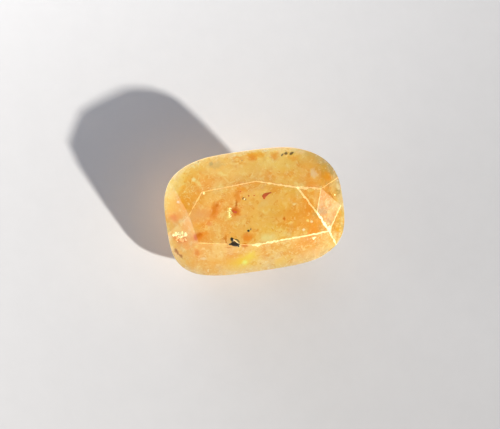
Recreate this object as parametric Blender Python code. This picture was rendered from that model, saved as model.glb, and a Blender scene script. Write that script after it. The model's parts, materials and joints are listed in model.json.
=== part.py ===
"""A cushion-cut yellow sapphire of about six carats, lying on one of its pavilion facets.

The stone is one crystal, so it is one solid. It is made here in the way a lapidary makes it: a slug
with the outline of the girdle comes first, and each facet is then one flat cut that takes away all
that lies outside its plane. The cutting is done in millimetres, with the middle of the girdle at the
origin, X along the stone, Y across it and the table on top. The finished stone is turned onto the
facet that it rests on and brought to metres.
"""
import math

import bmesh
import bpy
from mathutils import Matrix, Vector

# Driving dimensions, in millimetres
LENGTH = 12.34
WIDTH = 8.43
TABLE_HEIGHT = 1.62
GIRDLE_BAND = 0.26
MILLIMETRE = 0.001

# The outline is a cushion: a power of 2 would make an ellipse, and higher ones fill the corner more
CORNER_POWERS = {"upper right": 2.75, "upper left": 3.15, "lower left": 3.7, "lower right": 3.25}
OUTLINE_POINTS = 120

# Corners of the table, as distances along and across the stone
TABLE_RIGHT = (4.15, -0.50)
TABLE_UPPER_RIGHT = (3.03, 1.41)
TABLE_TOP = (0.32, 2.23)
TABLE_UPPER_LEFT = (-3.42, 2.02)
TABLE_LEFT = (-4.51, 0.57)
TABLE_LOWER_LEFT = (-4.13, -1.41)
TABLE_BOTTOM = (-0.39, -2.10)
TABLE_LOWER_RIGHT = (3.19, -1.98)

# Outer corners of the star facets, and the right kite's tip near the girdle
STAR_UPPER_RIGHT = (4.65, 1.05)
STAR_LOWER_RIGHT = (4.87, -1.98)
STAR_UPPER_LEFT = (-5.17, 2.26)
KITE_TIP = (5.97, -0.41)

# Azimuths of the kites and corners in degrees, counter-clockwise from the stone's right end
KITE_RIGHT = -4.6
KITE_LEFT = 175.3
CORNERS_UPPER_RIGHT = (18.0, 38.0)
CORNERS_LOWER_RIGHT = (-36.0,)
CORNERS_UPPER_LEFT = (150.0, 132.0)
CORNERS_LOWER_LEFT = (-150.0, -128.0)

# The girdle is thinned where the facets beside the right kite reach it
THINNED_GIRDLE_EDGE = 0.08

# The upper pavilion is a steep ring of equal cuts
BELLY_CUTS = 12
BELLY_SLOPE = 64.0

# The lower pavilion's cuts: azimuth, slope, and how deep each passes under the middle
KEEL_CUTS = (
    (0.0, 40.0, 6.3),
    (32.0, 44.0, 5.9),
    (75.0, 46.0, 5.35),
    (112.0, 45.0, 5.3),
    (150.0, 43.0, 5.9),
    (186.0, 42.0, 6.6),
)

# The broad pavilion facet that the stone lies on
REST_AZIMUTH = -117.6
REST_SLOPE = 26.1
REST_DISTANCE = 4.09

# Points closer than this are one point, and a cut takes points this near its plane onto it
SAME_POINT = 0.01
ON_PLANE = 0.0005

# Finish of the stone: well polished, honey yellow, cloudy corundum
BODY_COLOUR = (0.87, 0.50, 0.13, 1.0)
BODY_ROUGHNESS = 0.12
BODY_IOR = 1.77
BODY_CLARITY = 0.6


def heading(azimuth):
    """A level unit vector at an angle around the stone."""
    return Vector((math.cos(math.radians(azimuth)), math.sin(math.radians(azimuth)), 0.0))


def corner_power(azimuth):
    """How far the outline fills the corner that a direction points to."""
    way = heading(azimuth)
    side = "upper" if way.y > 0 else "lower"
    end = "right" if way.x > 0 else "left"
    return CORNER_POWERS[side + " " + end]


def outline_point(azimuth, height):
    """The point of the outline at an angle around the middle."""
    way = heading(azimuth)
    power = corner_power(azimuth)
    spread = abs(2 * way.x / LENGTH) ** power + abs(2 * way.y / WIDTH) ** power
    return way * spread ** (-1 / power) + Vector((0.0, 0.0, height))


def outline_reach(azimuth):
    """How far the outline reaches in a direction, measured square to its tangent."""
    way = heading(azimuth)
    power = corner_power(azimuth)
    power = power / (power - 1)
    return (abs(way.x * LENGTH / 2) ** power + abs(way.y * WIDTH / 2) ** power) ** (1 / power)


def cut_through(azimuth, slope, point):
    """A cut that faces up and outwards, as its normal and its distance from the middle."""
    tilt = math.radians(slope)
    normal = heading(azimuth) * math.sin(tilt) + Vector((0.0, 0.0, math.cos(tilt)))
    return normal, normal.dot(point)


def cut_under(azimuth, slope, point):
    """A cut that faces down and outwards, as its normal and its distance from the middle."""
    normal, _ = cut_through(azimuth, slope, point)
    normal.z = -normal.z
    return normal, normal.dot(point)


def crown_cut(azimuth, point, edge=GIRDLE_BAND / 2):
    """The cut through a point of the crown that just touches the girdle at a height."""
    run = outline_reach(azimuth) - heading(azimuth).dot(point)
    slope = math.degrees(math.atan2(point.z - edge, run))
    return cut_through(azimuth, slope, point)


def table_edge_cut(first, second):
    """The cut along an edge of the table that just touches the girdle."""
    line = second - first
    azimuth = math.degrees(math.atan2(-line.x, line.y))
    if heading(azimuth).dot(first + second) < 0:
        azimuth += 180
    return crown_cut(azimuth, first)


def crown_cut_between(first, second, low, high, edge=GIRDLE_BAND / 2):
    """The cut through two points, at an azimuth between two others, that just touches the girdle."""
    def miss(azimuth):
        normal, distance = crown_cut(azimuth, first, edge)
        return normal.dot(second) - distance

    for _ in range(30):
        middle = (low + high) / 2
        if miss(low) * miss(middle) > 0:
            low = middle
        else:
            high = middle
    return crown_cut(low, first, edge)


def star_cut(first, second, third):
    """The cut through three points of the crown."""
    normal = (second - first).cross(third - first).normalized()
    if normal.z < 0:
        normal.negate()
    return normal, normal.dot(first)


def on_table(place):
    """The point of the table at a place in plan."""
    return Vector((place[0], place[1], TABLE_HEIGHT))


def on_cut(place, cut):
    """The point of a cut at a place in plan."""
    normal, distance = cut
    height = (distance - normal.x * place[0] - normal.y * place[1]) / normal.z
    return Vector((place[0], place[1], height))


def right_end_cuts():
    """The kite at the right end, the stars and thin facets beside it, and the corners."""
    upper, middle, lower = map(on_table, (TABLE_UPPER_RIGHT, TABLE_RIGHT, TABLE_LOWER_RIGHT))
    kite = crown_cut(KITE_RIGHT, middle)
    star_upper = on_cut(STAR_UPPER_RIGHT, kite)
    star_lower = on_cut(STAR_LOWER_RIGHT, kite)
    tip = on_cut(KITE_TIP, kite)
    cuts = [
        kite,
        star_cut(upper, middle, star_upper),
        star_cut(middle, lower, star_lower),
        crown_cut_between(star_upper, tip, -5.0, 20.0, THINNED_GIRDLE_EDGE),
        crown_cut_between(star_lower, tip, -30.0, -5.0, THINNED_GIRDLE_EDGE),
        crown_cut_between(upper, star_upper, 40.0, 80.0),
        crown_cut_between(lower, star_lower, -85.0, -40.0),
    ]
    cuts += [crown_cut(azimuth, star_upper) for azimuth in CORNERS_UPPER_RIGHT]
    cuts += [crown_cut(azimuth, star_lower) for azimuth in CORNERS_LOWER_RIGHT]
    return cuts


def left_end_cuts():
    """The kite at the left end, the one star beside it, and the corners."""
    upper, middle, lower = map(on_table, (TABLE_UPPER_LEFT, TABLE_LEFT, TABLE_LOWER_LEFT))
    kite = crown_cut(KITE_LEFT, middle)
    star_upper = on_cut(STAR_UPPER_LEFT, kite)
    cuts = [
        kite,
        star_cut(middle, upper, star_upper),
        crown_cut_between(upper, star_upper, 92.0, 135.0),
        table_edge_cut(middle, lower),
    ]
    cuts += [crown_cut(azimuth, star_upper) for azimuth in CORNERS_UPPER_LEFT]
    cuts += [crown_cut(azimuth, lower) for azimuth in CORNERS_LOWER_LEFT]
    return cuts


def crown_cuts():
    """The table, its long sides and both ends."""
    top = on_table(TABLE_TOP)
    bottom = on_table(TABLE_BOTTOM)
    table = cut_through(0.0, 0.0, top)
    sides = [
        table_edge_cut(on_table(TABLE_UPPER_RIGHT), top),
        table_edge_cut(top, on_table(TABLE_UPPER_LEFT)),
        table_edge_cut(on_table(TABLE_LOWER_LEFT), bottom),
        table_edge_cut(bottom, on_table(TABLE_LOWER_RIGHT)),
    ]
    return [table] + sides + right_end_cuts() + left_end_cuts()


def rest_cut():
    """The broad pavilion facet that the stone lies on."""
    normal, _ = cut_under(REST_AZIMUTH, REST_SLOPE, Vector())
    return normal, REST_DISTANCE


def pavilion_cuts():
    """The steep upper ring, the lower cuts and the facet that the stone lies on."""
    cuts = []
    for index in range(BELLY_CUTS):
        azimuth = index * 360 / BELLY_CUTS
        edge = heading(azimuth) * outline_reach(azimuth) - Vector((0.0, 0.0, GIRDLE_BAND / 2))
        cuts.append(cut_under(azimuth, BELLY_SLOPE, edge))
    for azimuth, slope, depth in KEEL_CUTS:
        cuts.append(cut_under(azimuth, slope, Vector((0.0, 0.0, -depth))))
    return cuts + [rest_cut()]


def slug():
    """The uncut stone: the outline, straight up and down."""
    mesh = bmesh.new()
    turn = 360 / OUTLINE_POINTS
    rim = [mesh.verts.new(outline_point(index * turn, LENGTH / 2)) for index in range(OUTLINE_POINTS)]
    top = mesh.faces.new(rim)
    pulled = bmesh.ops.extrude_face_region(mesh, geom=[top], use_keep_orig=True)
    low_rim = [item for item in pulled["geom"] if isinstance(item, bmesh.types.BMVert)]
    bmesh.ops.translate(mesh, verts=low_rim, vec=(0.0, 0.0, -1.5 * LENGTH))
    bmesh.ops.recalc_face_normals(mesh, faces=mesh.faces)
    return mesh


def grind(mesh, cut):
    """Make one facet: take away all that lies outside the plane, and close the stone there."""
    normal, distance = cut
    sawn = bmesh.ops.bisect_plane(
        mesh,
        geom=mesh.verts[:] + mesh.edges[:] + mesh.faces[:],
        dist=ON_PLANE,
        plane_co=normal * distance,
        plane_no=normal,
        clear_outer=True,
    )
    rim = [item for item in sawn["geom_cut"] if isinstance(item, bmesh.types.BMEdge)]
    if len(rim) > 2:
        bmesh.ops.contextual_create(mesh, geom=rim)


def lay_down():
    """The turn that lays the stone on its resting facet, lengthwise along X."""
    normal, _ = rest_cut()
    down = normal.rotation_difference(Vector((0.0, 0.0, -1.0))).to_matrix().to_4x4()
    length = down @ Vector((1.0, 0.0, 0.0))
    return Matrix.Rotation(-math.atan2(length.y, length.x), 4, "Z") @ down


def centre_on_floor(mesh):
    """Move the stone so that the middle of the underside of its box is the origin."""
    lowest = Vector([min(vert.co[axis] for vert in mesh.verts) for axis in range(3)])
    highest = Vector([max(vert.co[axis] for vert in mesh.verts) for axis in range(3)])
    middle = (lowest + highest) / 2
    bmesh.ops.translate(mesh, verts=mesh.verts, vec=(-middle.x, -middle.y, -lowest.z))


def corundum():
    """The stone's own material."""
    material = bpy.data.materials.new("yellow_corundum")
    material.use_nodes = True
    shader = material.node_tree.nodes["Principled BSDF"]
    shader.inputs["Base Color"].default_value = BODY_COLOUR
    shader.inputs["Roughness"].default_value = BODY_ROUGHNESS
    shader.inputs["Metallic"].default_value = 0.0
    shader.inputs["IOR"].default_value = BODY_IOR
    shader.inputs["Transmission Weight"].default_value = BODY_CLARITY
    return material


def build_stone():
    """Cut the stone, lay it down and put it in the scene."""
    mesh = slug()
    for cut in crown_cuts() + pavilion_cuts():
        grind(mesh, cut)
    bmesh.ops.remove_doubles(mesh, verts=mesh.verts, dist=SAME_POINT)
    bmesh.ops.transform(mesh, matrix=lay_down(), verts=mesh.verts)
    centre_on_floor(mesh)
    bmesh.ops.scale(mesh, vec=(MILLIMETRE,) * 3, verts=mesh.verts)
    bmesh.ops.recalc_face_normals(mesh, faces=mesh.faces)
    data = bpy.data.meshes.new("sapphire")
    mesh.to_mesh(data)
    mesh.free()
    data.materials.append(corundum())
    stone = bpy.data.objects.new("sapphire", data)
    bpy.context.scene.collection.objects.link(stone)


def clear_scene():
    """Start from an empty scene."""
    for item in list(bpy.data.objects):
        bpy.data.objects.remove(item, do_unlink=True)


clear_scene()
build_stone()
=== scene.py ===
"""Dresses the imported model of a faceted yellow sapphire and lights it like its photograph.

The stone is one crystal, cut as one piece. It lies on a broad pavilion facet on white paper. Work on
the meshes is done in millimetres, and finished pieces are scaled back to metres.
"""

from __future__ import annotations

import json
import logging
import math
import random
from collections.abc import Iterable, Mapping, Sequence
from dataclasses import dataclass
from enum import Enum
from typing import Any

import bmesh
import bpy
from mathutils import Matrix, Vector, noise
from mathutils.bvhtree import BVHTree

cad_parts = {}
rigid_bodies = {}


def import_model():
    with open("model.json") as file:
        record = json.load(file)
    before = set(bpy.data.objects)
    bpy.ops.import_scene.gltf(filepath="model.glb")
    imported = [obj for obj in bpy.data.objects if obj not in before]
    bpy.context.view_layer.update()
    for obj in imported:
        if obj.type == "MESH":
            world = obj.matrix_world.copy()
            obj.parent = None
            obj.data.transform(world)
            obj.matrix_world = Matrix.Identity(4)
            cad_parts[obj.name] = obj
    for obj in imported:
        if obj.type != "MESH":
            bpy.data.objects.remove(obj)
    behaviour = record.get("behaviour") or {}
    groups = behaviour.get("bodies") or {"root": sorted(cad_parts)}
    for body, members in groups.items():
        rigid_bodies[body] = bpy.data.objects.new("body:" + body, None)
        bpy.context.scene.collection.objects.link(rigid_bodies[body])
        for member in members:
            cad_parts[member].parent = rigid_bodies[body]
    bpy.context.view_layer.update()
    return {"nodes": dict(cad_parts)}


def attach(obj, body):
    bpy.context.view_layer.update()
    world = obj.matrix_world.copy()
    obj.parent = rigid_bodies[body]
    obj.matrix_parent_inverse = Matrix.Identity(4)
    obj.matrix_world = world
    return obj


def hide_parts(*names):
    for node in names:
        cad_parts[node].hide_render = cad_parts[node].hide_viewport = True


LOG = logging.getLogger("sapphire")
MM = 0.001
STONE_NODE = "sapphire"
BODY = "root"

Pixel = tuple[float, float]
Material = bpy.types.Material
Piece = bpy.types.Object
Socket = bpy.types.NodeSocket
Tree = bpy.types.NodeTree


class Slot(Enum):
    """The record's material slots."""

    POLISHED = "polished_corundum"
    WORN = "worn_corundum"
    BLACK = "black_mineral"
    IRON = "iron_stain"
    MILKY = "milky_feather"


class Start(Enum):
    """How a layer of colour starts at its limit."""

    EVEN = "LINEAR"
    SOFT = "SMOOTHSTEP"


def linear(hex_colour: str) -> tuple[float, float, float, float]:
    """Turns an sRGB hex colour into linear red, green, blue and alpha.

    Args:
        hex_colour: A colour such as "#F1B45A".

    Returns:
        The four linear values, with alpha 1.
    """
    values = [int(hex_colour[i : i + 2], 16) / 255 for i in (1, 3, 5)]
    bent = [v / 12.92 if v <= 0.04045 else ((v + 0.055) / 1.055) ** 2.4 for v in values]
    return (bent[0], bent[1], bent[2], 1.0)


def add_node(
    tree: Tree,
    kind: str,
    settings: Mapping[str, Any] | None = None,
    inputs: Mapping[str | int, Any] | None = None,
) -> bpy.types.Node:
    """Adds a shader node with its settings, values and links.

    Args:
        tree: The node tree.
        kind: The node's type name.
        settings: Properties of the node.
        inputs: Values of its inputs, or the sockets that feed them, by name or number.

    Returns:
        The new node.
    """
    node = tree.nodes.new(kind)
    for name, value in (settings or {}).items():
        setattr(node, name, value)
    for name, value in (inputs or {}).items():
        if isinstance(value, Socket):
            tree.links.new(value, node.inputs[name])
        else:
            node.inputs[name].default_value = value
    return node


def empty_material(name: str) -> tuple[Material, Tree]:
    """Makes a material that holds no nodes yet.

    Args:
        name: The material's name.

    Returns:
        The material and its node tree.
    """
    material = bpy.data.materials.new(name)
    material.use_nodes = True
    material.node_tree.nodes.clear()
    return material, material.node_tree


def lay_over(
    tree: Tree,
    under: Socket | Sequence[float],
    colour: str,
    value: Socket,
    limits: tuple[float, float],
    strength: float = 1.0,
    start: Start = Start.EVEN,
) -> Socket:
    """Lays a colour over the colour so far, as far as a pattern's value is past a limit.

    Args:
        tree: The material's nodes.
        under: The colour so far.
        colour: The colour to lay over it, as sRGB hex.
        value: The pattern's value.
        limits: The values where the colour starts and where it is full.
        strength: Its share where it is full.
        start: How it starts.

    Returns:
        The socket with the new colour.
    """
    amount = add_node(
        tree,
        "ShaderNodeMapRange",
        {"interpolation_type": start.value},
        {"Value": value, "From Min": limits[0], "From Max": limits[1], "To Max": strength},
    )
    mix = add_node(
        tree,
        "ShaderNodeMix",
        {"data_type": "RGBA"},
        {0: amount.outputs["Result"], 6: under, 7: linear(colour)},
    )
    return mix.outputs[2]


def finish_material(
    tree: Tree,
    inputs: Mapping[str, Any],
    settings: Mapping[str, Any] | None = None,
    filling: Socket | None = None,
) -> None:
    """Ends a material with its shader and its output.

    Args:
        tree: The material's nodes.
        inputs: The shader's values and the sockets that feed them.
        settings: The shader's properties.
        filling: The volume inside the piece, where light goes through it.
    """
    body = add_node(tree, "ShaderNodeBsdfPrincipled", settings, inputs)
    ends = {"Surface": body.outputs["BSDF"]}
    if filling is not None:
        ends["Volume"] = filling
    add_node(tree, "ShaderNodeOutputMaterial", inputs=ends)


def deselect_all() -> None:
    """Leaves edit mode and deselects every object."""
    if bpy.context.object and bpy.context.object.mode != "OBJECT":
        bpy.ops.object.mode_set(mode="OBJECT")
    bpy.ops.object.select_all(action="DESELECT")


def take_up(piece: Piece) -> None:
    """Selects one object alone and makes it the active one.

    Args:
        piece: The object.
    """
    deselect_all()
    piece.select_set(True)
    bpy.context.view_layer.objects.active = piece


def rescale(piece: Piece, factor: float) -> None:
    """Scales an object and puts its place, turn and scale into its mesh.

    Args:
        piece: The object, which has to be the selected one.
        factor: The scale to give it.
    """
    piece.scale = (factor, factor, factor)
    bpy.ops.object.transform_apply(location=True, rotation=True, scale=True)


def direction_at(azimuth: float, elevation: float) -> Vector:
    """Finds a direction by its angles.

    Args:
        azimuth: The angle round the world's Z axis, in degrees.
        elevation: The angle above the level, in degrees.

    Returns:
        The direction, of length 1.
    """
    around = math.radians(azimuth)
    up = math.radians(elevation)
    return Vector((math.cos(around) * math.cos(up), math.sin(around) * math.cos(up), math.sin(up)))


@dataclass(frozen=True)
class StoneFrame:
    """The stone's own axes: x along it, z out of the girdle's plane, in millimetres."""

    x_axis: Vector = Vector((0.97901, 0.0, 0.20382))
    y_axis: Vector = Vector((-0.08117, 0.91728, 0.38988))
    z_axis: Vector = Vector((-0.18696, -0.39824, 0.89803))
    middle: Vector = Vector((-0.0102, 0.0100, 4.0900))

    def turn(self) -> Matrix:
        """The turn from the stone's axes to the world's."""
        return Matrix((self.x_axis, self.y_axis, self.z_axis)).transposed()

    def to_stone(self, point: Vector) -> Vector:
        """A point in world millimetres in the stone's frame."""
        return self.turn().transposed() @ (point - self.middle)

    def direction_to_stone(self, direction: Vector) -> Vector:
        """A world direction in the stone's frame."""
        return self.turn().transposed() @ direction


@dataclass(frozen=True)
class PhotoCamera:
    """The camera of the photograph, in degrees and millimetres.

    The frame of 500 by 429 pixels is the one that all the marks' places are given in.
    """

    azimuth: float = -130.77
    elevation: float = 69.78
    roll: float = 33.96
    distance: float = 89.0
    aim: Vector = Vector((-0.341, -0.181, 3.957))
    focal_length: float = 92.53
    sensor_width: float = 36.0
    frame_width: float = 500.0
    frame_height: float = 429.0
    nearest: float = 1.0
    farthest: float = 10000.0

    def axes(self) -> Matrix:
        """Finds how the camera is turned.

        Returns:
            Its right, up and backward directions, as columns.
        """
        around = math.radians(self.azimuth)
        back = direction_at(self.azimuth, self.elevation)
        level = Vector((-math.sin(around), math.cos(around), 0.0))
        above = back.cross(level)
        roll = math.radians(self.roll)
        right = level * math.cos(roll) + above * math.sin(roll)
        return Matrix((right, back.cross(right), back)).transposed()

    def place(self) -> Vector:
        """Where the camera stands, in world millimetres."""
        return self.aim + self.axes().col[2] * self.distance

    def direction(self, pixel: Pixel) -> Vector:
        """Finds the direction in which the camera sees a pixel.

        Args:
            pixel: A place in the photograph's frame.

        Returns:
            The direction, of length 1.
        """
        focal_pixels = self.focal_length / self.sensor_width * self.frame_width
        across = (pixel[0] - self.frame_width / 2) / focal_pixels
        down = (pixel[1] - self.frame_height / 2) / focal_pixels
        return (self.axes() @ Vector((across, -down, -1.0))).normalized()

    def build(self) -> Piece:
        """Adds the camera to the scene and makes it the active one.

        Returns:
            The camera.
        """
        bpy.ops.object.camera_add()
        camera = bpy.context.object
        camera.name = "photo_camera"
        camera.matrix_world = Matrix.Translation(self.place() * MM) @ self.axes().to_4x4()
        camera.data.lens = self.focal_length
        camera.data.sensor_fit = "HORIZONTAL"
        camera.data.sensor_width = self.sensor_width
        camera.data.clip_start = self.nearest * MM
        camera.data.clip_end = self.farthest * MM
        bpy.context.scene.camera = camera
        return camera


@dataclass
class CutSurface:
    """The surface of the CAD stone, for finding the place under a pixel of the photograph."""

    camera: PhotoCamera
    frame: StoneFrame
    tree: BVHTree

    @classmethod
    def of_node(cls, node: Piece, camera: PhotoCamera, frame: StoneFrame) -> CutSurface:
        """Reads the surface of a CAD node.

        Args:
            node: The CAD node.
            camera: The camera that the pixels belong to.
            frame: The stone's axes.

        Returns:
            The surface, in millimetres.
        """
        points = [node.matrix_world @ vertex.co / MM for vertex in node.data.vertices]
        faces = [tuple(face.vertices) for face in node.data.polygons]
        return cls(camera, frame, BVHTree.FromPolygons(points, faces))

    def under(self, pixel: Pixel) -> tuple[Vector, Vector]:
        """Finds what the camera sees at a pixel.

        Args:
            pixel: A place in the photograph's frame.

        Returns:
            The point in world millimetres and the facet's normal.
        """
        point, normal, _, _ = self.tree.ray_cast(self.camera.place(), self.camera.direction(pixel))
        if point is None:
            raise ValueError(f"pixel {pixel} isn't on the stone")
        if normal.dot(self.camera.axes().col[2]) < 0:
            normal = -normal
        return point, normal


@dataclass(frozen=True)
class Patch:
    """A soft spot of colour inside the stone: its pixel, half sizes in millimetres and strength. Most are the
    stone's own stains and tones; some are painted glow, light and shade.
    """

    pixel: Pixel
    reach: tuple[float, float]
    colour: str
    strength: float
    turn: float = 0.0
    depth: float = 0.6
    softness: float = 0.7


@dataclass(frozen=True)
class Cloud:
    """A layer of noise that mixes one more colour into the stone, with its scale per millimetre."""

    colour: str
    scale: float
    low: float
    high: float
    strength: float
    distortion: float = 0.6
    detail: float = 5.0


@dataclass(frozen=True)
class PolishedCorundum:
    """Cloudy yellow sapphire: the eye gets an even honey glow from within, slightly mottled. The base colour
    carries painted glow and shade: lighter at the shaded left end, darker at the sunlit right end.
    """

    # Painted glow and shade: stops of base colour along the stone, lighter at the shaded left end and darker
    # at the sunlit right end, so that the light looks even.
    glow_and_shade_stops: tuple[tuple[float, str], ...] = (
        (-6.0, "#FFB962"),
        (-3.0, "#F2B66C"),
        (0.0, "#FECB7C"),
        (2.2, "#FAC56E"),
        (3.4, "#E4B060"),
        (4.5, "#C2A064"),
        (6.0, "#B4914C"),
    )
    clouds: tuple[Cloud, ...] = ()
    patches: tuple[Patch, ...] = ()
    glow_and_shade_direction: Vector = Vector((1.0, -0.25, 0.0))
    glow_and_shade_reach: float = 6.5
    broad_warp: tuple[float, float] = (1.6, 0.40)
    fine_warp: tuple[float, float] = (6.0, 0.12)
    broad_patch: float = 0.3
    vein_colour: str = "#FFEFC4"
    vein_width: float = 0.012
    vein_strength: float = 0.55
    smoothest: float = 0.03
    roughest: float = 0.07
    refraction: float = 1.77
    clear_share: float = 0.5
    glow_radius: tuple[float, float, float] = (0.62, 0.66, 0.5)
    glow_scale: float = 14.0
    forward: float = 0.8
    tint: str = "#FFD27A"
    tint_density: float = 30.0

    def build(self, surface: CutSurface) -> Material:
        """Makes the material.

        Args:
            surface: The stone's surface, for the places of the patches.

        Returns:
            The material, which reads Object coordinates.
        """
        material, tree = empty_material("cloudy_yellow_sapphire")
        position = self._position(tree, surface.frame)
        # The base colour, with its painted glow and shade along the stone.
        colour = self._paint_glow_and_shade(tree, position)
        for cloud in self.clouds:
            colour = self._cloud(tree, position, colour, cloud)
        colour = self._veins(tree, position, colour)
        broad = self._warp(tree, position, *self.broad_warp)
        fine = self._warp(tree, position, *self.fine_warp)
        for patch in self.patches:
            warped = broad if max(patch.reach) > self.broad_patch else fine
            colour = self._patch(tree, warped, colour, patch, surface)
        tint = add_node(
            tree,
            "ShaderNodeVolumeAbsorption",
            inputs={"Color": linear(self.tint), "Density": self.tint_density},
        )
        finish_material(
            tree,
            {
                "Base Color": colour,
                "Roughness": self._polish(tree, position),
                "IOR": self.refraction,
                "Transmission Weight": self.clear_share,
                "Subsurface Weight": 1.0,
                "Subsurface Radius": self.glow_radius,
                "Subsurface Scale": self.glow_scale * MM,
                "Subsurface Anisotropy": self.forward,
            },
            {"subsurface_method": "RANDOM_WALK"},
            tint.outputs["Volume"],
        )
        return material

    def _position(self, tree: Tree, frame: StoneFrame) -> Socket:
        """Turns Object coordinates into the stone's own frame.

        Args:
            tree: The material's nodes.
            frame: The stone's axes.

        Returns:
            The socket with the place in the stone, in millimetres.
        """
        back = frame.turn().transposed()
        coordinates = add_node(tree, "ShaderNodeTexCoord")
        stone = add_node(
            tree,
            "ShaderNodeMapping",
            inputs={
                "Vector": coordinates.outputs["Object"],
                "Location": -(back @ frame.middle),
                "Rotation": back.to_euler(),
                "Scale": (1 / MM, 1 / MM, 1 / MM),
            },
        )
        return stone.outputs["Vector"]

    def _paint_glow_and_shade(self, tree: Tree, position: Socket) -> Socket:
        """Paints the base colour lighter at the shaded left end and darker at the sunlit right end: painted
        glow and shade along the stone.

        Args:
            tree: The material's nodes.
            position: The place in the stone, in millimetres.

        Returns:
            The socket with the body colour and its painted glow and shade.
        """
        along = add_node(
            tree, "ShaderNodeVectorMath", {"operation": "DOT_PRODUCT"}, {0: position, 1: self.glow_and_shade_direction}
        )
        share = add_node(
            tree,
            "ShaderNodeMapRange",
            inputs={
                "Value": along.outputs["Value"],
                "From Min": -self.glow_and_shade_reach,
                "From Max": self.glow_and_shade_reach,
            },
        )
        ramp = add_node(tree, "ShaderNodeValToRGB", inputs={"Fac": share.outputs["Result"]})
        stops = ramp.color_ramp.elements
        while len(stops) < len(self.glow_and_shade_stops):
            stops.new(1.0)
        for stop, (place, colour) in zip(stops, self.glow_and_shade_stops):
            stop.position = (place + self.glow_and_shade_reach) / (2 * self.glow_and_shade_reach)
            stop.color = linear(colour)
        return ramp.outputs["Color"]

    def _cloud(self, tree: Tree, position: Socket, under: Socket, cloud: Cloud) -> Socket:
        """Mixes one cloud into the colour so far.

        Args:
            tree: The material's nodes.
            position: The place in the stone, in millimetres.
            under: The colour so far.
            cloud: The layer.

        Returns:
            The socket with the new colour.
        """
        drift = add_node(
            tree,
            "ShaderNodeTexNoise",
            inputs={
                "Vector": position,
                "Scale": cloud.scale,
                "Detail": cloud.detail,
                "Roughness": 0.6,
                "Distortion": cloud.distortion,
            },
        )
        limits = (cloud.low, cloud.high)
        return lay_over(tree, under, cloud.colour, drift.outputs["Fac"], limits, cloud.strength, Start.SOFT)

    def _veins(self, tree: Tree, position: Socket, under: Socket) -> Socket:
        """Lays fine pale threads, where a noise passes its middle, over parts of the stone.

        Args:
            tree: The material's nodes.
            position: The place in the stone, in millimetres.
            under: The colour so far.

        Returns:
            The socket with the new colour.
        """
        threads = add_node(
            tree,
            "ShaderNodeTexNoise",
            inputs={"Vector": position, "Scale": 0.9, "Detail": 3.0, "Roughness": 0.5, "Distortion": 1.2},
        )
        off_middle = add_node(
            tree, "ShaderNodeMath", {"operation": "SUBTRACT"}, {0: threads.outputs["Fac"], 1: 0.5}
        )
        distance = add_node(
            tree, "ShaderNodeMath", {"operation": "ABSOLUTE"}, {0: off_middle.outputs["Value"]}
        )
        line = add_node(
            tree,
            "ShaderNodeMapRange",
            inputs={
                "Value": distance.outputs["Value"],
                "From Min": self.vein_width,
                "From Max": 0.0,
                "To Max": self.vein_strength,
            },
        )
        places = add_node(
            tree, "ShaderNodeTexNoise", inputs={"Vector": position, "Scale": 0.7, "Detail": 2.0}
        )
        kept = add_node(
            tree,
            "ShaderNodeMapRange",
            inputs={"Value": places.outputs["Fac"], "From Min": 0.48, "From Max": 0.62},
        )
        amount = add_node(
            tree,
            "ShaderNodeMath",
            {"operation": "MULTIPLY"},
            {0: line.outputs["Result"], 1: kept.outputs["Result"]},
        )
        return lay_over(tree, under, self.vein_colour, amount.outputs["Value"], (0.0, 1.0))

    def _warp(self, tree: Tree, position: Socket, scale: float, reach: float) -> Socket:
        """Bends the place by noise, so that the patches get ragged edges.

        Args:
            tree: The material's nodes.
            position: The place in the stone, in millimetres.
            scale: The noise's scale per millimetre.
            reach: How far it bends, in millimetres.

        Returns:
            The socket with the bent place.
        """
        bend = add_node(
            tree,
            "ShaderNodeTexNoise",
            inputs={"Vector": position, "Scale": scale, "Detail": 4.0, "Roughness": 0.65},
        )
        centred = add_node(
            tree,
            "ShaderNodeVectorMath",
            {"operation": "SUBTRACT"},
            {0: bend.outputs["Color"], 1: (0.5, 0.5, 0.5)},
        )
        warped = add_node(
            tree,
            "ShaderNodeVectorMath",
            {"operation": "MULTIPLY_ADD"},
            {0: centred.outputs["Vector"], 1: (2 * reach, 2 * reach, 2 * reach), 2: position},
        )
        return warped.outputs["Vector"]

    def _patch(
        self, tree: Tree, position: Socket, under: Socket, patch: Patch, surface: CutSurface
    ) -> Socket:
        """Lays one soft spot of colour over the colour so far.

        Args:
            tree: The material's nodes.
            position: The place in the stone, in millimetres.
            under: The colour so far.
            patch: The spot.
            surface: The stone's surface, for the spot's place.

        Returns:
            The socket with the new colour.
        """
        point, _ = surface.under(patch.pixel)
        spot = add_node(
            tree,
            "ShaderNodeMapping",
            {"vector_type": "TEXTURE"},
            {
                "Vector": position,
                "Location": surface.frame.to_stone(point),
                "Rotation": (0.0, 0.0, math.radians(patch.turn)),
                "Scale": (patch.reach[0], patch.reach[1], patch.depth),
            },
        )
        away = add_node(tree, "ShaderNodeVectorMath", {"operation": "LENGTH"}, {0: spot.outputs["Vector"]})
        limits = (1.0 + patch.softness / 2, 1.0 - patch.softness)
        return lay_over(tree, under, patch.colour, away.outputs["Value"], limits, patch.strength, Start.SOFT)

    def _polish(self, tree: Tree, position: Socket) -> Socket:
        """Lets the polish vary a little over the facets.

        Args:
            tree: The material's nodes.
            position: The place in the stone, in millimetres.

        Returns:
            The socket with the roughness.
        """
        haze = add_node(tree, "ShaderNodeTexNoise", inputs={"Vector": position, "Scale": 2.4, "Detail": 4.0})
        roughness = add_node(
            tree,
            "ShaderNodeMapRange",
            inputs={
                "Value": haze.outputs["Fac"],
                "From Min": 0.3,
                "From Max": 0.7,
                "To Min": self.smoothest,
                "To Max": self.roughest,
            },
        )
        return roughness.outputs["Result"]


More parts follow.
